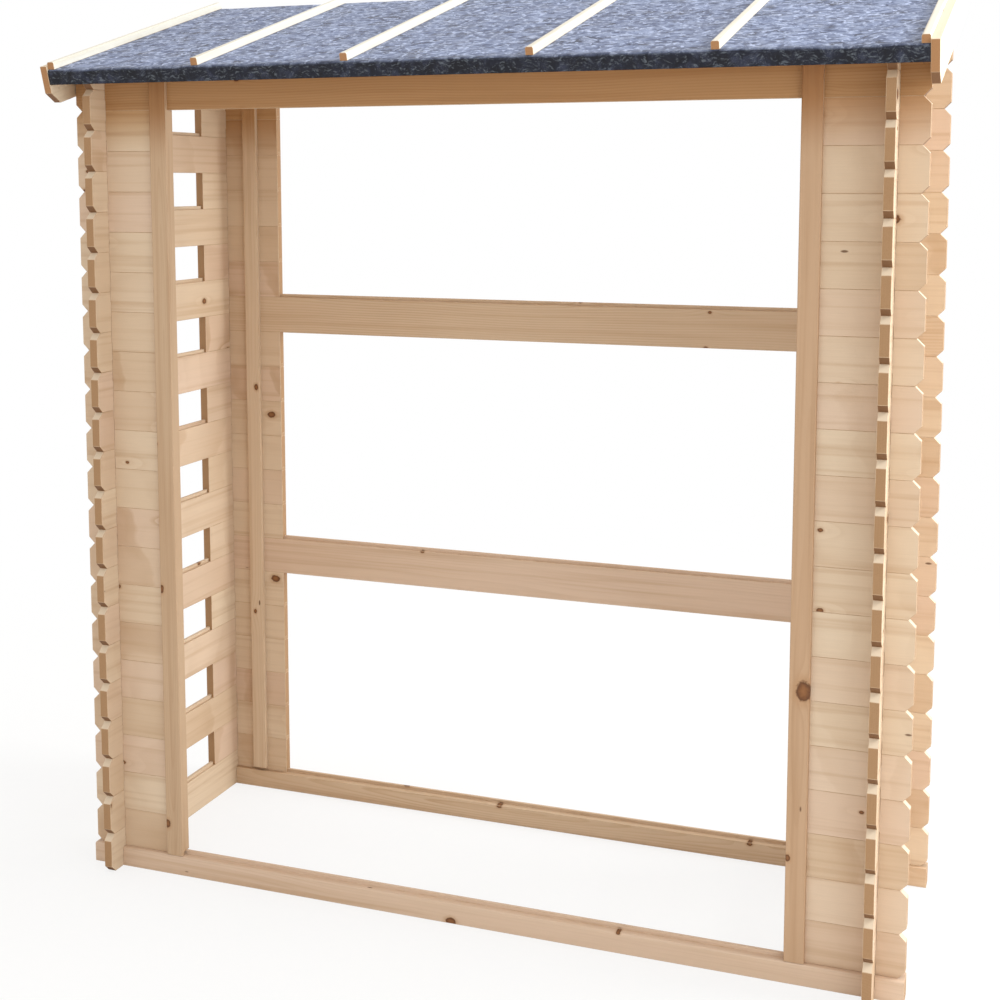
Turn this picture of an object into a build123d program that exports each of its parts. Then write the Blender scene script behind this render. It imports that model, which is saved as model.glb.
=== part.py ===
from build123d import *
from math import cos, radians, sin, tan
import os

# Log store with a pent roof, built from tongue-and-groove log boards that
# cross at the corners. Millimetres, +Z up, front towards -Y.
# The origin is at ground level, in the middle of the footprint.

# Log boards
course = 88.0
board_t = 19.0
log_end = 56.0
end_bevel = 14.0
tongue_h = 8.0
tongue_t = 6.5
groove_play = 0.25
notch_play = 0.3
front_courses = 19
side_courses = 20

# Walls, measured over the outer faces of the boards
wall_w = 1706.0
wall_d = 532.0
front_return = 175.0
back_return = 162.0
side_return = 134.0

# How many back return boards lie below each full-length rail
lower_rail_courses = 6
upper_rail_courses = 13

# Sills
sill_t = 40.0
sill_out = 11.0
sill_round = 5.0

# Upright angle trims on the front returns and battens on the back ones. The
# trims' inner arm covers the ends of the return boards.
trim_w = 40.0
trim_t = 10.0
trim_arm = 8.0
trim_round = 2.0
batten_w = 36.0
batten_t = 12.0
batten_inset = 53.0

# Roof
roof_slope = 16.0
eave_out = 88.0
side_out = 59.0
deck_t = 19.0
deck_board_w = 96.0
deck_gap = 0.8
felt_t = 3.0
felt_flap = 10.0
gable_web = 4.0
roof_batten = 16.0
roof_batten_round = 3.5
roof_batten_setback = 2.0
# How far each batten was nailed from its even place, from left to right
roof_batten_drift = (0.0, -11.0, -32.0, -4.0, -9.0, 0.0)
barge_w = 84.0
barge_t = 16.0
barge_rise = 8.0
barge_cut = 26.0
fit_gap = 0.3

# Derived places
half_course = course / 2
quarter_course = course / 4
half_w = wall_w / 2
half_d = wall_d / 2
front_header_base = half_course + front_courses * course
back_header_base = front_header_base + course
plate_top = front_header_base + course
slope_rise = tan(radians(roof_slope))
slope_cos = cos(radians(roof_slope))
slope_sin = sin(radians(roof_slope))
roof_half_w = half_w + side_out
roof_length = (wall_d + 2 * eave_out) / slope_cos
roof_top = deck_t + felt_t

# The deck's underside at the eave. The slope's own plane lies on it, with its
# x axis up the slope and its y axis out of the roof.
eave_y = -half_d - eave_out
eave_z = plate_top - eave_out * slope_rise
deck_underside = Plane(
    origin=(0, eave_y, eave_z), x_dir=(1, 0, 0), z_dir=(0, -slope_sin, slope_cos)
)
slope_line = Axis((0, eave_y, eave_z), (0, slope_cos, slope_sin))


def roof_underside(y):
    """Height of the underside of the roof boards at y."""
    return plate_top + (y + half_d) * slope_rise


def slope_section(x):
    """Plane across the roof at x, drawn up the slope and out of the roof."""
    return Plane(origin=(x, eave_y, eave_z), x_dir=(0, slope_cos, slope_sin), z_dir=(1, 0, 0))


def wall_plane(axis, back_of_board):
    """Plane that holds the back face of a board running along X or Y."""
    if axis == "X":
        return Plane(origin=(0, back_of_board, 0), x_dir=(1, 0, 0), z_dir=(0, -1, 0))
    return Plane(origin=(back_of_board, 0, 0), x_dir=(0, 1, 0), z_dir=(1, 0, 0))


def log_board(plane, span, base, height, crossings, notch_low, notch_high, keyed, tongue=True):
    """One log board, extruded from its outline.

    span is its start and end along the wall. crossings are the middles of the
    boards that it crosses, each let in by a notch from below and from above.
    The ends that run past a crossing are bevelled. keyed is the stretch with
    a groove below and a tongue above.
    """
    start, end = span
    top = base + height
    with BuildSketch(plane) as outline:
        with Locations(((start + end) / 2, base + height / 2)):
            Rectangle(end - start, height)
        bevelled = [v for v in outline.vertices() if is_free_end(plane, v, span, crossings)]
        chamfer(bevelled, length=end_bevel)
        for middle, width in crossings:
            if notch_low:
                with Locations((middle, base)):
                    Rectangle(width, 2 * notch_low, mode=Mode.SUBTRACT)
            if notch_high:
                with Locations((middle, top)):
                    Rectangle(width, 2 * notch_high, mode=Mode.SUBTRACT)
    extrude(outline.sketch, amount=board_t)
    cut_groove(plane, keyed, base)
    if tongue:
        add_tongue(plane, keyed, top, board_t)


def is_free_end(plane, vertex, span, crossings):
    """True at a corner of the outline whose end runs past a crossing."""
    start, end = span
    along = plane.to_local_coords(vertex).X
    near_start = abs(along - start) < abs(along - end)
    edge = start if near_start else end
    return any(abs(edge - middle) < 2 * log_end for middle, width in crossings)


def cut_groove(plane, keyed, base):
    """The groove in a board's lower edge, over the tongue of the board below."""
    width = tongue_t + 2 * groove_play
    with BuildSketch(plane.offset((board_t - width) / 2)) as groove:
        with Locations(((keyed[0] + keyed[1]) / 2, base)):
            Rectangle(keyed[1] - keyed[0], 2 * (tongue_h + groove_play))
    extrude(groove.sketch, amount=width, mode=Mode.SUBTRACT)


def add_tongue(plane, keyed, top, thickness):
    """The tongue on a board's upper edge."""
    with BuildSketch(plane.offset((thickness - tongue_t) / 2)) as key:
        with Locations(((keyed[0] + keyed[1]) / 2, top + tongue_h / 2)):
            Rectangle(keyed[1] - keyed[0], tongue_h)
    extrude(key.sketch, amount=tongue_t)


def finish_node(part, name, colour):
    """Label a finished piece and write its file."""
    part.label = name
    part.color = Color(*colour)
    export_step(part, os.path.join("parts", name + ".step"))


wood = (0.80, 0.66, 0.48)
pale_wood = (0.90, 0.84, 0.72)
felt_grey = (0.25, 0.27, 0.34)
notch_w = board_t + 2 * notch_play
sill_notch_w = sill_t + 2 * notch_play
side_middle = half_w - board_t / 2
cross_middle = half_d - board_t / 2
sill_middle = half_d + sill_out - sill_t / 2
long_x = (-half_w - log_end, half_w + log_end)
long_y = (-half_d - log_end, half_d + log_end)
keyed_x = half_w - board_t - notch_play
keyed_y = half_d - board_t - notch_play
front_back_face = -half_d + board_t
back_back_face = half_d
os.makedirs("parts", exist_ok=True)


def sill_beam(front):
    """Half-height beam across the front or back, with the side boards let in."""
    back_face = -half_d - sill_out + sill_t if front else half_d + sill_out
    board_back = front_back_face if front else back_back_face
    beam = wall_plane("X", back_face)
    with BuildSketch(beam) as outline:
        with Locations((0, half_course / 2)):
            Rectangle(long_x[1] - long_x[0], half_course)
        for x in (-side_middle, side_middle):
            with Locations((x, half_course)):
                Rectangle(notch_w, 2 * quarter_course, mode=Mode.SUBTRACT)
    extrude(outline.sketch, amount=sill_t)
    add_tongue(wall_plane("X", board_back), (-keyed_x, keyed_x), half_course, board_t)


with BuildPart() as front_sill:
    sill_beam(front=True)
    upper_front = front_sill.faces().sort_by(Axis.Y)[0].edges().filter_by(Axis.X).group_by(Axis.Z)[-1]
    fillet(upper_front, radius=sill_round)
finish_node(front_sill.part, "front_sill", wood)

with BuildPart() as back_sill:
    sill_beam(front=False)
    upper_back = back_sill.faces().sort_by(Axis.Y)[-1].edges().filter_by(Axis.X).group_by(Axis.Z)[-1]
    fillet(upper_back, radius=sill_round)
finish_node(back_sill.part, "back_sill", wood)


def return_board(side, back_face, length):
    """Lowest short board of a return, from the corner to the opening."""
    corner = side * (half_w + log_end)
    inner = side * (half_w - length)
    span = (min(corner, inner), max(corner, inner))
    key_start = side * keyed_x
    keyed = (min(key_start, inner), max(key_start, inner))
    crossing = [(side * side_middle, notch_w)]
    plane = wall_plane("X", back_face)
    with BuildPart() as board:
        log_board(plane, span, half_course, course, crossing, quarter_course, quarter_course, keyed)
    return board.part


def courses_up(numbers):
    """Places of the given courses, counted from the lowest board."""
    return [(0, 0, number * course) for number in numbers]


# Boards that meet lie in separate pieces, so each return is two sets of
# every second course.
rail_courses = (lower_rail_courses, upper_rail_courses)
for side, side_name in ((-1, "left"), (1, "right")):
    front_board = return_board(side, front_back_face, front_return - trim_arm)
    back_board = return_board(side, back_back_face, back_return)
    for parity, parity_name in ((0, "even"), (1, "odd")):
        with BuildPart() as front_return_boards:
            with Locations(*courses_up(range(parity, front_courses, 2))):
                add(front_board)
        finish_node(front_return_boards.part, f"front_{side_name}_return_{parity_name}", wood)

        back_courses = [n for n in range(parity, front_courses + 1, 2) if n not in rail_courses]
        with BuildPart() as back_return_boards:
            with Locations(*courses_up(back_courses)):
                add(back_board)
        finish_node(back_return_boards.part, f"back_{side_name}_return_{parity_name}", wood)


def full_board(back_face, base, height, notch_high, tongue):
    """Board across the whole front or back, through both corners."""
    crossings = [(-side_middle, notch_w), (side_middle, notch_w)]
    keyed = (-keyed_x, keyed_x)
    plane = wall_plane("X", back_face)
    log_board(plane, long_x, base, height, crossings, quarter_course, notch_high, keyed, tongue)


for number, name in zip(rail_courses, ("back_lower_rail", "back_upper_rail")):
    with BuildPart() as rail:
        full_board(back_back_face, half_course + number * course, course, quarter_course, True)
    finish_node(rail.part, name, wood)


def cut_to_roof():
    """Take off what stands above the underside of the roof boards."""
    split(bisect_by=deck_underside, keep=Keep.BOTTOM)


# The boards under the roof start higher than needed and are cut to its slope.
with BuildPart() as front_header:
    full_board(front_back_face, front_header_base, course + board_t, quarter_course + board_t, False)
    cut_to_roof()
finish_node(front_header.part, "front_header", wood)

with BuildPart() as back_header:
    full_board(back_back_face, back_header_base, course, quarter_course, True)
finish_node(back_header.part, "back_header", wood)

with BuildPart() as back_top_board:
    top_base = back_header_base + course
    full_board(back_back_face, top_base, course, 0, False)
    cut_to_roof()
finish_node(back_top_board.part, "back_top_board", wood)


def side_board(plane, base, height, keyed, notch_high):
    """Full-depth board of a side wall."""
    crossings = [(-cross_middle, notch_w), (cross_middle, notch_w)]
    log_board(plane, long_y, base, height, crossings, quarter_course, notch_high, keyed)


def side_foot_board(plane):
    """Lowest side board: it straddles both sills and has no groove to fill."""
    with BuildSketch(plane) as outline:
        with Locations((0, half_course)):
            Rectangle(long_y[1] - long_y[0], course)
        chamfer(outline.vertices().group_by(Axis.Z)[-1], length=end_bevel)
        for y in (-sill_middle, sill_middle):
            with Locations((y, 0)):
                Rectangle(sill_notch_w, 2 * quarter_course, mode=Mode.SUBTRACT)
        for y in (-cross_middle, cross_middle):
            with Locations((y, course)):
                Rectangle(notch_w, 2 * quarter_course, mode=Mode.SUBTRACT)
    extrude(outline.sketch, amount=board_t)
    add_tongue(plane, (-keyed_y, keyed_y), course, board_t)


def vent_board(plane, end):
    """Lowest short board at the front or back corner, beside a vent."""
    outer = end * (half_d + log_end)
    inner = end * (half_d - side_return)
    span = (min(outer, inner), max(outer, inner))
    key_start = end * keyed_y
    keyed = (min(key_start, inner), max(key_start, inner))
    crossing = [(end * cross_middle, notch_w)]
    with BuildPart() as board:
        log_board(plane, span, course, course, crossing, quarter_course, quarter_course, keyed)
    return board.part


gable_joint = (side_courses + 1) * course
gable_key_start = -half_d + (gable_joint + tongue_h + gable_web - plate_top) / slope_rise
gable_rise = roof_underside(half_d + log_end) - gable_joint
back_top_seat = back_header_base + course + quarter_course
every_course = (-keyed_y, keyed_y)
for side, side_name in ((-1, "left"), (1, "right")):
    plane = wall_plane("Y", -half_w if side < 0 else half_w - board_t)

    with BuildPart() as foot_board:
        side_foot_board(plane)
    finish_node(foot_board.part, f"{side_name}_foot_board", wood)

    with BuildPart() as second_side_board:
        side_board(plane, 2 * course, course, every_course, quarter_course)
    with BuildPart() as side_boards:
        with Locations(*courses_up(range(0, side_courses - 2, 2))):
            add(second_side_board.part)
    finish_node(side_boards.part, f"{side_name}_side_boards", wood)

    for end, end_name in ((-1, "front"), (1, "back")):
        lowest_board = vent_board(plane, end)
        with BuildPart() as vent_boards:
            with Locations(*courses_up(range(0, side_courses, 2))):
                add(lowest_board)
        finish_node(vent_boards.part, f"{side_name}_{end_name}_vent_boards", wood)

    with BuildPart() as gable_lower:
        base = side_courses * course
        crossings = [(-cross_middle, notch_w), (cross_middle, notch_w)]
        log_board(plane, long_y, base, course, crossings, quarter_course, quarter_course, every_course, False)
        add_tongue(plane, (gable_key_start, keyed_y), gable_joint, board_t)
        cut_to_roof()
    finish_node(gable_lower.part, f"{side_name}_gable_lower", wood)

    with BuildPart() as gable_upper:
        crossings = [(cross_middle, notch_w)]
        span = (gable_key_start - half_course, long_y[1])
        keyed = (gable_key_start, keyed_y)
        above_seat = gable_joint + gable_rise - back_top_seat
        log_board(plane, span, gable_joint, gable_rise, crossings, quarter_course, above_seat, keyed, False)
        cut_to_roof()
    finish_node(gable_upper.part, f"{side_name}_gable_upper", wood)


# Upright angle trims around the ends of the front return boards
trim_top = plate_top - trim_t * slope_rise - fit_gap
arm_base = half_course + tongue_h + fit_gap
for side, side_name in ((-1, "left"), (1, "right")):
    inner_face = side * (half_w - front_return)
    with BuildPart() as trim:
        with BuildSketch(Plane.XY.offset(half_course)):
            with Locations((inner_face + side * trim_w / 2, -half_d - trim_t / 2)):
                Rectangle(trim_w, trim_t)
        extrude(amount=trim_top - half_course)
        front_edges = trim.faces().sort_by(Axis.Y)[0].edges().filter_by(Axis.Z)
        fillet(front_edges, radius=trim_round)
        with BuildSketch(Plane.XY.offset(arm_base)):
            with Locations((inner_face + side * trim_arm / 2, -half_d + board_t / 2)):
                Rectangle(trim_arm, board_t)
        extrude(amount=front_header_base - fit_gap - arm_base)
    finish_node(trim.part, f"front_{side_name}_trim", wood)

    with BuildPart() as batten:
        with BuildSketch(Plane.XY.offset(half_course + tongue_h)):
            x = side * (half_w - board_t - batten_inset - batten_w / 2)
            with Locations((x, half_d - board_t - batten_t / 2)):
                Rectangle(batten_w, batten_t)
        extrude(amount=back_header_base + course - half_course - tongue_h)
    finish_node(batten.part, f"back_{side_name}_batten", wood)


# Roof boards lie up the slope, side by side, on the headers and gables.
deck_count = round(2 * roof_half_w / deck_board_w)
deck_pitch = 2 * roof_half_w / deck_count
for parity, parity_name in ((0, "even"), (1, "odd")):
    with BuildPart() as roof_boards:
        for number in range(parity, deck_count, 2):
            left = -roof_half_w + number * deck_pitch
            with BuildSketch(slope_section(left)):
                Rectangle(roof_length, deck_t, align=(Align.MIN, Align.MIN))
            extrude(amount=deck_pitch - (deck_gap if number < deck_count - 1 else 0))
    finish_node(roof_boards.part, f"roof_boards_{parity_name}", wood)

with BuildPart() as roof_felt:
    with BuildSketch(slope_section(-roof_half_w)) as felt_profile:
        with BuildLine():
            Polyline(
                (0, -felt_flap),
                (0, deck_t),
                (roof_length, deck_t),
                (roof_length, -felt_flap),
                (roof_length + felt_t, -felt_flap),
                (roof_length + felt_t, roof_top),
                (-felt_t, roof_top),
                (-felt_t, -felt_flap),
                close=True,
            )
        make_face()
        outer_corners = felt_profile.vertices().group_by(Axis.X)
        fillet(outer_corners[0].sort_by(Axis.Z)[-1], radius=felt_t)
    extrude(amount=2 * roof_half_w)
finish_node(roof_felt.part, "roof_felt", felt_grey)

batten_run = roof_half_w - roof_batten / 2
batten_pitch = 2 * batten_run / (len(roof_batten_drift) - 1)
for number, drift in enumerate(roof_batten_drift):
    x = -batten_run + number * batten_pitch + drift
    with BuildPart() as roof_strip:
        with BuildSketch(slope_section(x - roof_batten / 2)):
            with Locations((roof_length / 2, roof_top + roof_batten / 2)):
                Rectangle(roof_length - 2 * roof_batten_setback, roof_batten)
        extrude(amount=roof_batten)
        upper_edges = roof_strip.edges().filter_by(slope_line).sort_by(Axis.Z)[-2:]
        fillet(upper_edges, radius=roof_batten_round)
    finish_node(roof_strip.part, f"roof_batten_{number + 1}", pale_wood)

for side, side_name in ((-1, "left"), (1, "right")):
    inner_face = -roof_half_w - barge_t if side < 0 else roof_half_w
    low = roof_top + barge_rise - barge_w
    high = roof_top + barge_rise
    with BuildPart() as bargeboard:
        with BuildSketch(slope_section(inner_face)) as barge_outline:
            with BuildLine():
                Polyline(
                    (-felt_t, high),
                    (-felt_t, low + barge_cut),
                    (-felt_t + barge_cut, low),
                    (roof_length + felt_t - barge_cut, low),
                    (roof_length + felt_t, low + barge_cut),
                    (roof_length + felt_t, high),
                    close=True,
                )
            make_face()
        extrude(amount=barge_t)
    finish_node(bargeboard.part, f"{side_name}_bargeboard", wood)
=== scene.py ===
import math

import bpy
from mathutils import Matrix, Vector, noise


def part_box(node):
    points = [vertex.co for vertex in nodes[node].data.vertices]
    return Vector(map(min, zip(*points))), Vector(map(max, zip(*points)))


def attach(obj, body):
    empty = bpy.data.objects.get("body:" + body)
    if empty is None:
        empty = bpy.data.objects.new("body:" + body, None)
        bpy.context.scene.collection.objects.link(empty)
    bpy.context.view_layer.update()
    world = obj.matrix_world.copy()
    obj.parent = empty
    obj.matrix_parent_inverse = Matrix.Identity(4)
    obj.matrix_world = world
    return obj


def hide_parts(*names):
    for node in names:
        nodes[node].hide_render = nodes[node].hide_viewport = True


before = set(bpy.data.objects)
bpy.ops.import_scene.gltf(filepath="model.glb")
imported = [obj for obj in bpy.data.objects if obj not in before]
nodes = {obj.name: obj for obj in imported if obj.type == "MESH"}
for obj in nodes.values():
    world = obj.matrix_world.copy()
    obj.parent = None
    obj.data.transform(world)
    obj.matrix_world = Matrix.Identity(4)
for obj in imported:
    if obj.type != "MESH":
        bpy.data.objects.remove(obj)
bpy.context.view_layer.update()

# Sizes of the part that its finish follows, in metres
course = 0.088
roof_slope = math.radians(16)
deck_t = 0.019
deck_board_count = 19
roof_batten_count = 6
felt_t = 0.003
felt_flap = 0.010
seam_shift = 0.0003

# The camera that fits the photograph, and the photograph's own numbers
photo_px = 1000
focal_px = 1522
sensor_mm = 36
camera_place = (1.130, -3.128, 1.559)
camera_turn = math.radians(20.08)
camera_dip = math.radians(6.25)
camera_shift_y = -0.15

# The directions of the grain: along it, across the board's face, through it
x_axis, y_axis, z_axis = (1, 0, 0), (0, 1, 0), (0, 0, 1)
up_slope = (0, math.cos(roof_slope), math.sin(roof_slope))
off_slope = (0, -math.sin(roof_slope), math.cos(roof_slope))
along_x = (x_axis, z_axis, y_axis)
along_y = (y_axis, z_axis, x_axis)
along_z = (z_axis, x_axis, y_axis)
barge_grain = (up_slope, off_slope, x_axis)
deck_grain = (up_slope, x_axis, off_slope)

# How often the wood's patterns repeat in a metre: along the grain, across the face, through the board
fibre_scale = (16, 480, 480)
streak_scale = (1.5, 70, 70)
patch_scale = (2.0, 8, 8)
wave_scale = (3.5, 12, 12)
wander_scale = (1.1, 0, 1)
ring_fade_scale = (2.2, 9, 9)
pin_scale = (9, 26, 26)
saw_scale = (260, 18, 18)
ragged_scale = 160
pore_scale = 700

# The cosines between which a surface counts as turned towards an axis
turning, turned = 0.5, 0.66


def paint(red, green, blue):
    """A colour written as it looks on a screen, 0 to 255, for a shader."""
    return tuple(((value / 255 + 0.055) / 1.055) ** 2.4 for value in (red, green, blue)) + (1,)


class Finish:
    """The nodes of one material or world, built with short calls."""

    def __init__(self, owner):
        owner.use_nodes = True
        self.owner = owner
        self.tree = owner.node_tree
        self.tree.nodes.clear()

    def node(self, kind, inputs=None, **settings):
        made = self.tree.nodes.new("ShaderNode" + kind)
        for key, value in settings.items():
            setattr(made, key, value)
        for socket, value in (inputs or {}).items():
            if isinstance(value, bpy.types.NodeSocket):
                self.tree.links.new(value, made.inputs[socket])
            else:
                made.inputs[socket].default_value = value
        return made

    def coordinate(self, name):
        return self.node("TexCoord").outputs[name]

    def math(self, operation, *values):
        return self.node("Math", dict(enumerate(values)), operation=operation).outputs[0]

    def add(self, a, b):
        return self.math("ADD", a, b)

    def times(self, a, b):
        return self.math("MULTIPLY", a, b)

    def centred(self, value):
        """A value of 0 to 1, moved so that it lies around zero."""
        return self.add(value, -0.5)

    def vector(self, operation, *values):
        made = self.node("VectorMath", dict(enumerate(values)), operation=operation)
        return made.outputs["Value" if operation in ("DOT_PRODUCT", "LENGTH") else "Vector"]

    def scaled(self, place, scale):
        """place times scale, which is one number or one for each axis."""
        factors = scale if isinstance(scale, tuple) else (scale,) * 3
        return self.vector("MULTIPLY", place, factors)

    def combine(self, x, y, z):
        return self.node("CombineXYZ", {0: x, 1: y, 2: z}).outputs[0]

    def parts(self, value):
        return self.node("SeparateXYZ", {0: value}).outputs[:3]

    def smooth(self, value, low, high, start=0.0, end=1.0):
        """value eased from start at low to end at high."""
        inputs = {"Value": value, "From Min": low, "From Max": high, "To Min": start, "To Max": end}
        return self.node("MapRange", inputs, interpolation_type="SMOOTHSTEP").outputs[0]

    def mix(self, share, a, b, blend="MIX"):
        made = self.node("Mix", {0: share, 6: a, 7: b}, data_type="RGBA", blend_type=blend)
        return made.outputs[2]

    def tinted(self, colour, tint):
        return self.mix(1.0, colour, tint, "MULTIPLY")

    def ramp(self, value, stops):
        """A colour, or a grey given as one number, for each place among the stops."""
        made = self.node("ValToRGB", {0: value})
        elements = made.color_ramp.elements
        for number, (place, colour) in enumerate(stops):
            element = elements[number] if number < 2 else elements.new(place)
            element.position = place
            element.color = colour if isinstance(colour, tuple) else (colour,) * 3 + (1,)
        return made.outputs[0]

    def noise(self, place, scale, detail=2.0, roughness=0.5, output=0):
        inputs = {"Vector": self.scaled(place, scale), "Scale": 1.0, "Detail": detail, "Roughness": roughness}
        return self.node("TexNoise", inputs).outputs[output]

    def bump(self, height, strength, distance):
        inputs = {"Strength": strength, "Distance": distance, "Height": height}
        return self.node("Bump", inputs).outputs[0]

    def surface(self, colour, roughness, normal, specular):
        """The finished material, with one shader for the whole of it."""
        inputs = {"Base Color": colour, "Roughness": roughness, "Normal": normal}
        inputs["Specular IOR Level"] = specular
        return self.output(self.node("BsdfPrincipled", inputs).outputs[0])

    def output(self, shader, kind="OutputMaterial"):
        self.node(kind, {"Surface": shader})
        return self.owner


def new_material(name):
    return Finish(bpy.data.materials.new(name))


class Board:
    """A point's place on its own board, and the random numbers of that board."""

    def __init__(self, f, grain, start, cell, seed):
        carry_along, carry_through = 40, 9
        self.place = f.coordinate("Object")
        self.raw = f.combine(*(f.vector("DOT_PRODUCT", self.place, axis) for axis in grain))
        self.along = f.vector("DOT_PRODUCT", self.place, grain[0])
        self.grain = grain
        self.width = cell[1]

        from_start = f.vector("SUBTRACT", self.raw, start)
        number = f.vector("FLOOR", f.vector("DIVIDE", from_start, cell))
        middle = f.vector("MULTIPLY", f.vector("ADD", number, (0.5, 0.5, 0.5)), cell)
        local = f.vector("SUBTRACT", from_start, middle)
        _, self.across, self.through = f.parts(local)

        own_number = f.vector("ADD", number, (seed, 0.5, 0.5))
        chance = f.node("TexWhiteNoise", {"Vector": own_number}).outputs["Color"]
        self.luck_a, self.luck_b, self.luck_c = f.parts(chance)
        carry = f.combine(f.times(self.luck_a, carry_along), 0, f.times(self.luck_b, carry_through))
        self.shifted = f.vector("ADD", local, carry)
        self.run, _, _ = f.parts(self.shifted)


class Knot:
    """The knot nearest to a point: the way there, whether it is real, and how far its edge lies."""

    def __init__(self, f, board, look):
        reach, gap, squeeze, scatter = 0.30, 0.088, 0.72, 57
        smallest, rarity, raggedness, never_zero = 0.0028, 3.0, 0.7, 0.00002
        row = f.add(f.math("DIVIDE", board.across, gap), f.times(board.luck_b, scatter))
        place = f.combine(f.math("DIVIDE", board.run, reach), row, 0)
        inputs = {"Vector": place, "Scale": 1.0, "Randomness": 0.7}
        cells = f.node("TexVoronoi", inputs, voronoi_dimensions="2D")
        away = f.vector("SUBTRACT", place, cells.outputs["Position"])
        self.away = f.scaled(away, (reach * squeeze, gap, 0))

        luck, growth, _ = f.parts(cells.outputs["Color"])
        self.present = f.math("LESS_THAN", luck, look["knots"])
        grown = f.times(f.math("POWER", growth, rarity), look["knot_size"])
        radius = f.times(self.present, f.add(smallest, grown))
        ragged = f.times(f.centred(f.noise(board.shifted, ragged_scale)), raggedness)
        radii_away = f.math("DIVIDE", f.vector("LENGTH", self.away), f.add(radius, never_zero))
        self.edge = f.add(radii_away, ragged)


def swerve(f, knot):
    """How far the rings bend round a knot."""
    slimness, spread, depth = 0.45, 0.012, 0.006
    away = f.vector("LENGTH", f.scaled(knot.away, (slimness, 1, 0)))
    closeness = f.math("EXPONENT", f.times(f.math("POWER", f.math("DIVIDE", away, spread), 2.0), -1.0))
    return f.times(f.times(closeness, depth), knot.present)


def from_pith(f, board):
    """The distance to the tree's pith, which wanders about a line beside the board."""
    slant, pith_reach, wander_a, wander_b = 0.09, 1.3, 0.05, 0.03
    nearest, farther, wave = 0.010, 0.05, 0.0035
    slow_a, slow_b, _ = f.parts(f.noise(board.shifted, wander_scale, output=1))
    wavy = f.noise(board.shifted, wave_scale)
    taper = f.times(board.along, f.times(f.centred(board.luck_c), slant))
    sideways = f.times(f.centred(board.luck_a), board.width * pith_reach)
    sideways = f.add(sideways, f.times(f.centred(slow_a), wander_a))
    depth = f.add(nearest, f.times(board.luck_b, farther))
    depth = f.add(depth, f.add(taper, f.times(f.centred(slow_b), wander_b)))
    pith = f.combine(0, f.math("SUBTRACT", board.across, sideways), f.add(board.through, depth))
    return f.add(f.vector("LENGTH", pith), f.times(wavy, wave))


def late_wood(f, board, knot, look):
    """The darker late wood of the growth rings, from 0 between the rings to about 1."""
    ring_spread = 0.6
    distance = f.add(from_pith(f, board), swerve(f, knot))
    ring_w = f.add(look["ring_w"], f.times(board.luck_c, look["ring_w"] * ring_spread))
    phase = f.math("FRACT", f.math("DIVIDE", distance, ring_w))
    late = f.ramp(phase, ((0.0, 0.0), (0.5, 0.10), (0.86, 1.0), (0.95, 0.85), (1.0, 0.0)))
    strength = f.smooth(f.noise(board.shifted, ring_fade_scale), 0.3, 0.7, start=0.25)
    boldness = f.smooth(board.luck_c, 0.45, 1.0, start=0.35, end=1.25)
    return f.times(f.times(late, strength), f.times(boldness, look["rings"]))


def clear_wood(f, board, late, fibre, look):
    """The colour of a board's face away from its knots."""
    rosy_share, patch_share, streak_share = 0.75, 0.4, 0.45
    streak = f.noise(board.shifted, streak_scale)
    patch = f.noise(board.shifted, patch_scale, detail=1.0)
    colour = f.mix(board.luck_c, look["pale"], look["warm"])
    colour = f.mix(f.smooth(board.luck_b, 0.55, 1.0, end=rosy_share), colour, look["rosy"])
    colour = f.mix(f.smooth(patch, 0.3, 0.8, end=patch_share), colour, look["warm"])
    colour = f.mix(f.smooth(streak, 0.45, 0.8, end=streak_share), colour, look["late"])
    colour = f.mix(late, colour, look["late"])
    shade = f.add(f.times(fibre, look["fibre"]), 1.0 - look["fibre"] / 2)
    return f.tinted(colour, f.combine(shade, shade, shade))


def with_knot(f, knot, colour, look):
    """colour with the knot and the warm halo round it."""
    halo_share = 0.5
    halo = f.smooth(knot.edge, 1.0, 2.4, start=halo_share, end=0.0)
    colour = f.mix(f.times(halo, knot.present), colour, look["halo"])
    across_knot = f.ramp(f.times(knot.edge, 0.5), knot_colours)
    return f.mix(f.smooth(knot.edge, 0.95, 1.35, start=1.0, end=0.0), colour, across_knot)


def with_pins(f, board, colour, look):
    """colour with the pin knots, small dark dots that few cells hold."""
    pin_share = 0.85
    inputs = {"Vector": f.scaled(board.shifted, pin_scale), "Scale": 1.0}
    cells = f.node("TexVoronoi", inputs).outputs
    luck, _, _ = f.parts(cells["Color"])
    dot = f.smooth(cells["Distance"], 0.04, 0.08, start=1.0, end=0.0)
    pin = f.times(dot, f.math("LESS_THAN", luck, look["pins"]))
    return f.mix(f.times(pin, pin_share), colour, knot_rim)


def painted_eave_shade(f, board, normal, colour, look):
    """colour darkened and warmed with painted shade on what faces the front under the eave, but not on the
    rear ends outside.
    """
    wall_side, shade_from, shade_to = 0.85, 1.60, 1.73
    _, forward, _ = f.parts(normal)
    sideways, back, level = f.parts(board.place)
    out = f.smooth(f.math("ABSOLUTE", sideways), wall_side, wall_side + 0.01)
    outside = f.times(out, f.smooth(back, 0.0, 0.1))
    # Painted shade: the eave's shadow on front-facing wood near the top, as a darker, warmer tint.
    eave_shade_share = f.times(f.smooth(level, shade_from, shade_to), f.smooth(forward, -0.4, -0.8))
    eave_shade_share = f.times(eave_shade_share, f.math("SUBTRACT", 1.0, outside))
    return f.mix(eave_shade_share, colour, f.tinted(colour, look["painted_eave_shade"]))


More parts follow.
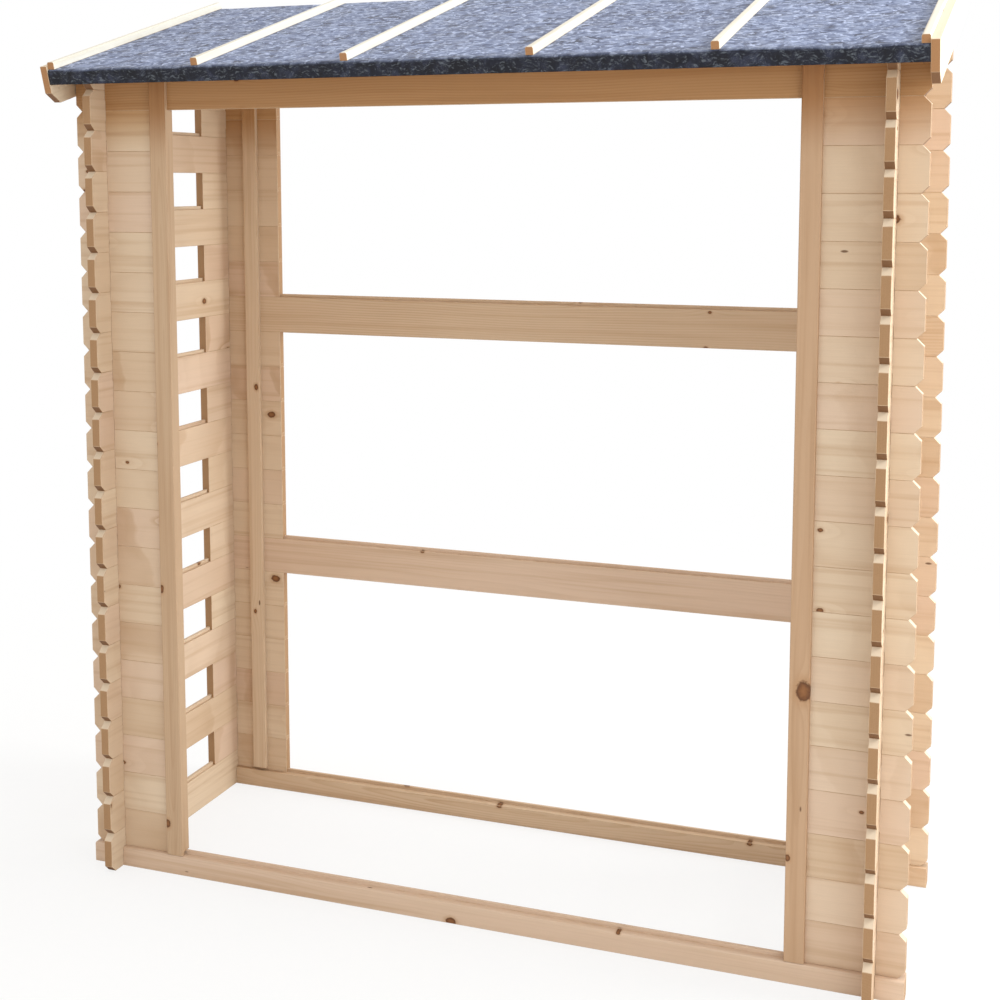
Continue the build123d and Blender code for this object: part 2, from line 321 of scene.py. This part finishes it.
def with_ends(f, board, normal, late, colour, look):
    """colour with end grain where the surface faces along the grain, with painted shade where it faces down
    and a painted highlight, the face's pale colour, where it faces up.
    """
    least_late, ring_share, pore_share = 0.25, 0.5, 0.5
    facing = f.math("ABSOLUTE", f.vector("DOT_PRODUCT", normal, board.grain[0]))
    _, _, upward = f.parts(normal)
    pores = f.noise(board.shifted, pore_scale)
    end = f.mix(f.add(f.times(late, ring_share), least_late), look["end"], look["end_late"])
    end = f.mix(f.smooth(pores, 0.45, 0.8, end=pore_share), end, look["end_late"])
    # Painted shade on end grain that faces down, and a painted highlight on end grain that faces up.
    end = f.mix(f.smooth(upward, -turning, -turned), end, look["end_painted_shade"])
    end = f.mix(f.smooth(upward, turning, turned), end, look["pale"])
    return f.mix(f.smooth(facing, turning, turned), colour, end)


def spruce(name, grain, start, cell, seed, look):
    """Spruce with growth rings, fibre and knots that run with the grain.

    start and cell cut space into boards, and every board gets its own rings,
    tint and knots. look holds the colours and how strongly each shows.
    """
    bump_strength, bump_depth, rough_spread, specular = 0.5, 0.0004, 0.15, 0.35
    f = new_material(name)
    normal = f.coordinate("Normal")
    board = Board(f, grain, start, cell, seed)
    knot = Knot(f, board, look)
    late = late_wood(f, board, knot, look)
    fibre = f.noise(board.shifted, fibre_scale, detail=3.0, roughness=0.6)

    colour = clear_wood(f, board, late, fibre, look)
    colour = with_knot(f, knot, colour, look)
    colour = with_pins(f, board, colour, look)
    colour = painted_eave_shade(f, board, normal, colour, look)
    colour = with_ends(f, board, normal, late, colour, look)

    height = fibre
    if look["sawn"]:
        saw_marks = f.noise(board.raw, saw_scale, detail=3.0)
        height = f.add(fibre, f.times(saw_marks, look["sawn"]))
    rough = f.smooth(fibre, 0.2, 0.8, start=look["rough"], end=look["rough"] + rough_spread)
    return f.surface(colour, rough, f.bump(height, bump_strength, bump_depth), specular)


# A knot's colours from its heart to its rim, by half its radii from the heart
knot_rim = paint(92, 56, 30)
knot_colours = (
    (0.00, paint(140, 94, 56)),
    (0.25, paint(130, 84, 48)),
    (0.42, paint(106, 66, 37)),
    (0.52, knot_rim),
    (0.62, paint(128, 84, 48)),
)
log_look = {
    "pale": paint(217, 196, 170), "warm": paint(204, 177, 148), "rosy": paint(212, 184, 162),
    # The last colour on the next line is the tint of the painted shade under the front eave.
    "late": paint(176, 140, 104), "halo": paint(172, 130, 90), "painted_eave_shade": paint(214, 186, 150),
    # The last colour on the next line is the painted shade on end grain that faces down.
    "end": paint(170, 133, 96), "end_late": paint(142, 104, 68), "end_painted_shade": paint(118, 82, 52),
    "knots": 0.42, "knot_size": 0.005, "pins": 0.18, "rings": 0.5, "ring_w": 0.0036, "fibre": 0.12,
    "sawn": 0.0, "rough": 0.55,
}
trim_look = {
    **log_look, "pale": paint(194, 166, 136), "warm": paint(184, 150, 118), "rosy": paint(188, 152, 120),
    "late": paint(160, 122, 86), "knots": 0.45, "rings": 0.65, "knot_size": 0.014,
}
deck_look = {**log_look, "pale": paint(205, 172, 134), "sawn": 0.8, "rough": 0.7}
# Near-white wood of the roof battens and, a little warmer, the bargeboards: partly their own pale wood and
# partly painted light, the paleness of faces lit white by a strong lamp.
pale_look = {
    **log_look, "pale": paint(230, 227, 216), "warm": paint(224, 217, 202), "rosy": paint(226, 220, 206),
    "late": paint(206, 190, 162), "halo": paint(206, 184, 150), "end": paint(176, 130, 88),
    "end_late": paint(142, 96, 58), "knots": 0.12, "rings": 0.3,
}
barge_look = {
    **pale_look, "pale": paint(236, 222, 200), "warm": paint(226, 206, 178), "rosy": paint(232, 214, 190),
}


def own_board(node, grain):
    """start and cell of a node that is one board, from its own corners."""
    margin = 0.001
    points = [v.co for v in nodes[node].data.vertices]
    reaches = [[Vector(axis).dot(p) for p in points] for axis in grain]
    start = [min(reach) - margin for reach in reaches]
    cell = [max(reach) - min(reach) + 2 * margin for reach in reaches]
    return tuple(start), tuple(cell)


def own_wood(name, seed):
    """The wood of a node that is a single board."""
    if name.startswith("roof_batten"):
        grain, look = deck_grain, pale_look
    elif name.endswith("bargeboard"):
        grain, look = barge_grain, barge_look
    elif name.endswith("trim"):
        grain, look = along_z, trim_look
    elif name.endswith("_batten"):
        grain, look = along_z, log_look
    elif name.startswith("left_") or name.startswith("right_"):
        grain, look = along_y, log_look
    else:
        grain, look = along_x, log_look
    start, cell = own_board(name, grain)
    return spruce(name + "_wood", grain, start, cell, seed, look)


def deck_wood(apart):
    """The roof boards' wood: their joints share out the felt's width."""
    deck_seed = 7
    low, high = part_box("roof_felt")
    start = (-apart / 2, low.x - seam_shift, -apart / 2)
    cell = (apart, (high.x - low.x) / deck_board_count, apart)
    return spruce("roof_board", deck_grain, start, cell, deck_seed, deck_look)


def finish_boards():
    """Give every board node its wood.

    Boards of one kind share a material. Its cells are a course high and far
    larger than the store otherwise, so they part only at the store's middle.
    """
    apart, first_own_seed = 10, 11
    cell = (apart, course, apart)
    shared = {
        "return": (along_x, (0, course / 2 + seam_shift, 0)),
        "side": (along_y, (-apart / 2, seam_shift, 0)),
        "vent": (along_y, (0, seam_shift, 0)),
    }
    woods = {}
    for seed, (kind, (grain, start)) in enumerate(shared.items()):
        woods[kind] = spruce("log_" + kind, grain, start, cell, seed, log_look)
    woods["boards"] = deck_wood(apart)
    for number, name in enumerate(sorted(nodes)):
        if name == "roof_felt":
            continue
        kind = next((kind for kind in woods if f"_{kind}_" in name), None)
        wood = woods[kind] if kind else own_wood(name, number + first_own_seed)
        nodes[name].material_slots[0].material = wood


def worn_edge_and_shade():
    """The rubbed, paler wood on the boards' edges, with painted shade where it faces down."""
    blotch_scale, grain_scale = 34, 400
    bump_strength, bump_depth, roughness, specular = 0.4, 0.0005, 0.5, 0.35
    f = new_material("worn_edge_and_shade")
    place = f.coordinate("Object")
    _, _, upward = f.parts(f.coordinate("Normal"))
    blotch = f.noise(place, blotch_scale, detail=3.0, roughness=0.6)
    grain = f.noise(place, grain_scale)
    stops = (
        (0.3, paint(186, 154, 120)),
        (0.5, paint(202, 174, 144)),
        (0.7, paint(216, 192, 166)),
    )
    colour = f.ramp(blotch, stops)
    # Painted shade: the edges that face down are darker.
    colour = f.mix(f.smooth(upward, -0.1, -0.4), colour, paint(172, 140, 108))
    return f.surface(colour, roughness, f.bump(grain, bump_strength, bump_depth), specular)


def soften_edges():
    """Small bevels along every board's edges, as left by the planer."""
    weld_reach, bevel_w, bevel_steps = 0.00002, 0.0007, 2
    flat_within, sharp_from = math.radians(1), math.radians(40)
    edge_wear_and_shade = worn_edge_and_shade()
    for name, node in nodes.items():
        if name == "roof_felt":
            continue
        weld = node.modifiers.new("weld", "WELD")
        weld.merge_threshold = weld_reach
        flat = node.modifiers.new("flat_faces", "DECIMATE")
        flat.decimate_type = "DISSOLVE"
        flat.angle_limit = flat_within
        bevel = node.modifiers.new("small_bevel", "BEVEL")
        bevel.width = bevel_w
        bevel.segments = bevel_steps
        bevel.limit_method = "ANGLE"
        bevel.angle_limit = sharp_from
        node.data.materials.append(edge_wear_and_shade)
        bevel.material = len(node.data.materials) - 1


def new_object(name, points, faces):
    """A mesh object of these points and faces, linked to the scene."""
    mesh = bpy.data.meshes.new(name)
    mesh.from_pydata(points, [], faces)
    made = bpy.data.objects.new(name, mesh)
    bpy.context.scene.collection.objects.link(made)
    return made


def felt_slope(f, base, glint):
    """The felt's crinkled slate blue on the slope, lighter than the flaps as painted reflection, with pale
    painted glints.
    """
    stops = (
        (0.36, paint(48, 54, 78)),
        (0.47, paint(94, 104, 134)),
        (0.60, paint(136, 147, 178)),
    )
    # Painted highlight: pale glint streaks on the crinkles.
    return f.mix(f.smooth(glint, 0.52, 0.64, end=0.9), f.ramp(base, stops), paint(184, 195, 224))


def felt_dark(f, base, bent):
    """The felt's near black on the flaps, with a few pale scuffs."""
    stops = (
        (0.40, paint(12, 13, 24)),
        (0.55, paint(24, 27, 42)),
        (0.64, paint(44, 48, 66)),
    )
    scuff = f.noise(bent, (85, 85, 230), detail=3.0, roughness=0.65)
    return f.mix(f.smooth(scuff, 0.52, 0.70, end=0.5), f.ramp(base, stops), paint(118, 126, 134))


def share_on_slope(f, place, eave):
    """1 on the slope, 0 on the flaps, and between them close to the front eave: the share of the slope's
    painted reflection.
    """
    eave_width, eave_share = 0.03, 0.55
    facing = f.vector("DOT_PRODUCT", f.coordinate("Normal"), off_slope)
    up = f.math("SUBTRACT", f.vector("DOT_PRODUCT", place, up_slope), Vector(up_slope).dot(eave))
    return f.times(f.smooth(facing, 0.25, 0.97), f.smooth(up, 0.0, eave_width, start=eave_share))


def felt_finish(eave):
    """Bitumen felt: near black on the flaps, and crinkled slate blue on the slope, where painted reflection
    and painted glints lighten it.
    """
    bend_scale, mottle_scale, cloud_scale = 30, 20, 7
    crease_scale, glint_scale, grit_scale = 46, 78, 420
    crease_share, mottle_share, cloud_share = 0.65, 0.35, 0.14
    bend_reach, bump_strength, bump_depth, specular = 0.03, 0.9, 0.004, 0.3
    f = new_material("roof_felt")
    place = f.coordinate("Object")
    bent = f.vector("ADD", place, f.scaled(f.noise(place, bend_scale, output=1), bend_reach))
    mottle = f.noise(place, mottle_scale, detail=4.0, roughness=0.6)
    cloud = f.noise(place, cloud_scale, detail=1.0)
    crease = f.noise(bent, crease_scale, detail=3.0, roughness=0.55)
    glint = f.noise(bent, glint_scale, detail=3.0, roughness=0.6)
    grit = f.noise(place, grit_scale, detail=3.0, roughness=0.7)
    base = f.add(f.times(mottle, mottle_share), f.times(f.centred(cloud), cloud_share))
    base = f.add(f.times(crease, crease_share), base)

    on_slope = share_on_slope(f, place, eave)
    # The slope's lighter colour is painted reflection; the flaps show the felt's own near black.
    colour = f.mix(on_slope, felt_dark(f, base, bent), felt_slope(f, base, glint))
    fleck = f.times(f.smooth(grit, 0.54, 0.66), f.smooth(crease, 0.46, 0.58))
    fleck = f.times(fleck, f.add(f.times(on_slope, 0.45), 0.15))
    colour = f.mix(fleck, colour, paint(150, 156, 160))
    height = f.add(crease, f.add(f.times(glint, 0.5), f.times(grit, 0.15)))
    rough = f.smooth(mottle, 0.3, 0.7, start=0.42, end=0.60)
    return f.surface(colour, rough, f.bump(height, bump_strength, bump_depth), specular)


def felt_profile(length, top, flap):
    """Points of the felt's outer face up the slope: front flap and fold, top, back fold and flap."""
    fold, step = 0.009, 0.006
    flap_steps, fold_steps = 4, 8
    front = [(-felt_t, flap * n / flap_steps - flap) for n in range(flap_steps)]
    front += [(-felt_t, (top - fold) * n / flap_steps) for n in range(flap_steps)]
    for n in range(fold_steps + 1):
        angle = math.pi / 2 * n / fold_steps
        front.append((-felt_t + fold * (1 - math.cos(angle)), top - fold * (1 - math.sin(angle))))
    count = int((length - 2 * fold) / step)
    level_length = length + 2 * felt_t - 2 * fold
    level = [(-felt_t + fold + level_length * n / count, top) for n in range(1, count)]
    back = [(length - s, h) for s, h in front]
    return front + level + back[::-1]


def wrinkle(x, s, batten_xs):
    """Height of the felt's creases at x across and s up the roof. The battens hold it flat."""
    held, loosening = 0.009, 0.03
    crumple_scale, crumple_mean, crumple_height, swell_height = 26, 1.1, 0.0007, 0.0011
    near = min(abs(x - batten_x) for batten_x in batten_xs)
    loose = min(1.0, max(0.0, (near - held) / loosening))
    ridged = Vector((x * crumple_scale, s * crumple_scale, 0.5))
    crumple = noise.ridged_multi_fractal(ridged, 1.0, 2.1, 3, 0.9, 2.0)
    swell = noise.noise(Vector((x * 6, s * 5, 3.1)))
    return loose * (crumple_height * (crumple - crumple_mean) + swell_height * swell)


def creased(profile, x, length, batten_xs):
    """The profile at x, with its creases."""
    flap_crease, flap_gap = 0.6, 0.0008
    points = []
    for s, h in profile:
        lift = wrinkle(x, s + h, batten_xs)
        if h > deck_t:
            h += lift
        elif s > length / 2:
            s += flap_gap - lift * flap_crease
        else:
            s += flap_gap + lift * flap_crease
        points.append((s, h))
    return points


def felt_sheet():
    """The felt as a creased sheet that folds down over both eaves."""
    columns, sheet_t = 300, 0.002
    low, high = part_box("roof_boards_even")
    deck_slant = deck_t * math.sin(roof_slope)
    eave = Vector((0, low.y + deck_slant, low.z))
    length = (high.y - low.y - deck_slant) / math.cos(roof_slope)
    felt_low, felt_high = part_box("roof_felt")
    battens = [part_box(f"roof_batten_{n + 1}") for n in range(roof_batten_count)]
    batten_xs = [(box[0].x + box[1].x) / 2 for box in battens]

    profile = felt_profile(length, deck_t + felt_t, felt_flap)
    rows = len(profile)
    points, faces = [], []
    for column in range(columns + 1):
        x = felt_low.x + (felt_high.x - felt_low.x) * column / columns
        for s, h in creased(profile, x, length, batten_xs):
            points.append(Vector((x, 0, 0)) + eave + Vector(up_slope) * s + Vector(off_slope) * h)
    for column in range(columns):
        for row in range(rows - 1):
            corner = column * rows + row
            faces.append((corner, corner + rows, corner + rows + 1, corner + 1))

    sheet = new_object("felt_sheet", points, faces)
    sheet.data.polygons.foreach_set("use_smooth", [True] * len(faces))
    sheet.data.materials.append(felt_finish(eave))
    thick = sheet.modifiers.new("thickness", "SOLIDIFY")
    thick.thickness = sheet_t
    thick.offset = -1
    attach(sheet, "root")
    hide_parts("roof_felt")


def white_floor():
    """A pale floor that fades to the white background and keeps the shadow."""
    half = 30
    fade_from, fade_to, least_glow = 1.0, 3.5, 0.78
    corners = [(-half, -half, 0), (half, -half, 0), (half, half, 0), (-half, half, 0)]
    floor = new_object("floor", corners, [(0, 1, 2, 3)])
    f = new_material("floor")
    place = f.coordinate("Object")
    distance = f.vector("LENGTH", place)
    colour = f.mix(f.noise(place, 40), paint(238, 237, 235), paint(243, 242, 240))
    matt = f.node("BsdfDiffuse", {"Color": colour}).outputs[0]
    glow = f.node("Emission", {"Color": (1, 1, 1, 1), "Strength": 1.0}).outputs[0]
    seen = f.node("LightPath").outputs["Is Camera Ray"]
    share = f.times(seen, f.smooth(distance, fade_from, fade_to, start=least_glow))
    mixed = f.node("MixShader", {0: share, 1: matt, 2: glow}).outputs[0]
    floor.data.materials.append(f.output(mixed))


def soft_world():
    """Even daylight that shows as plain white behind the object."""
    world = bpy.data.worlds.new("studio")
    bpy.context.scene.world = world
    f = Finish(world)
    light = f.node("Background", {"Color": (1.0, 0.985, 0.96, 1), "Strength": 0.95}).outputs[0]
    white = f.node("Background", {"Color": (1, 1, 1, 1)}).outputs[0]
    path = f.node("LightPath").outputs
    shown = f.math("MAXIMUM", path["Is Camera Ray"], path["Is Glossy Ray"])
    shown = f.math("MAXIMUM", shown, path["Is Transmission Ray"])
    mixed = f.node("MixShader", {0: shown, 1: light, 2: white}).outputs[0]
    f.output(mixed, "OutputWorld")


def soft_light(name, place, size, power, colour):
    """A large square lamp at place that points at the store's middle."""
    aim = Vector((0, 0, 1.0))
    data = bpy.data.lights.new(name, "AREA")
    data.color = colour
    data.shape = "SQUARE"
    data.size = size
    data.energy = power
    lamp = bpy.data.objects.new(name, data)
    bpy.context.scene.collection.objects.link(lamp)
    lamp.location = place
    lamp.rotation_euler = (aim - Vector(place)).to_track_quat("-Z", "Y").to_euler()
    lamp.visible_camera = False


def photo_camera():
    """The camera at the photograph's angle."""
    data = bpy.data.cameras.new("camera")
    data.sensor_width = sensor_mm
    data.lens = focal_px / photo_px * sensor_mm
    data.shift_y = camera_shift_y
    camera = bpy.data.objects.new("camera", data)
    bpy.context.scene.collection.objects.link(camera)
    camera.location = camera_place
    camera.rotation_euler = (math.pi / 2 - camera_dip, 0, camera_turn)
    bpy.context.scene.camera = camera


finish_boards()
soften_edges()
felt_sheet()
white_floor()
soft_world()
soft_light("key", (4.4, 0.9, 4.0), size=2.2, power=220, colour=(0.94, 0.98, 1.0))
soft_light("front_fill", (4.5, -2.6, 1.9), size=3.0, power=64, colour=(0.88, 0.96, 1.0))
soft_light("back_fill", (4.3, 3.2, 1.9), size=4.0, power=75, colour=(0.90, 0.97, 1.0))
photo_camera()
bpy.context.scene.view_settings.view_transform = "Standard"
